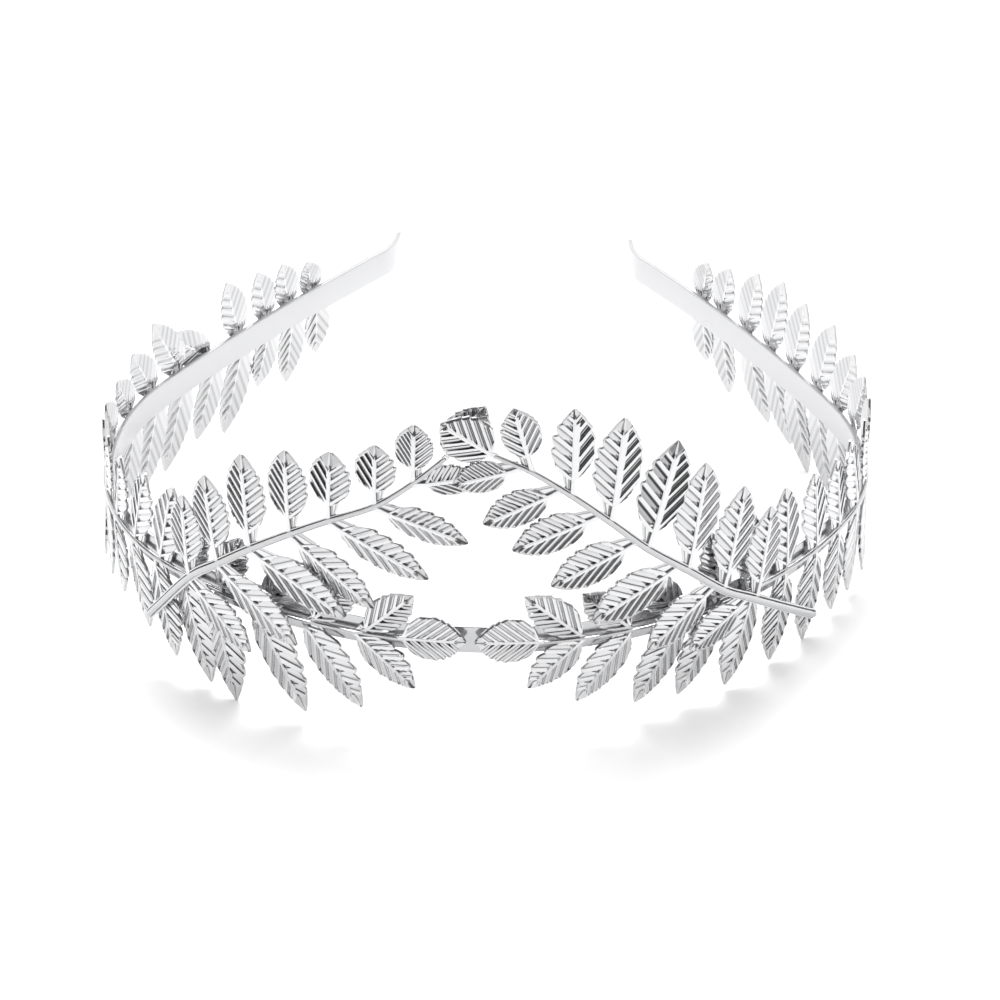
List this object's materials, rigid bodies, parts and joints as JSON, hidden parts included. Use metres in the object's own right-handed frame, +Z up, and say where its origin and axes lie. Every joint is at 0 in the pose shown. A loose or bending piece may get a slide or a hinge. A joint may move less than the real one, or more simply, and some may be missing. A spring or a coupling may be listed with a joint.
{
  "type": "leaf headband",
  "caption": "Thin metal headband, open at the back, with ribbed leaf sprays along it and two crossing leaf sprays that rise to a peak above the front.",
  "frame": {"origin": "middle of the bounding box, on the surface that it stands on", "axes": "+Z up, -Y towards the front with the peak, +Y towards the opening at the back, +X towards the viewer's right"},
  "size_m": [0.138, 0.1336, 0.0705],
  "materials": {
    "band_metal": "bright silver-coloured plate on a flat strip",
    "leaf_metal": "bright silver-coloured plate on stamped, ribbed leaves"
  },
  "bodies": {
    "root": {"band": "band_metal", "lower_spray_left": "leaf_metal", "lower_spray_right": "leaf_metal", "upper_spray_left": "leaf_metal", "upper_spray_right": "leaf_metal"}
  },
  "joints": []
}
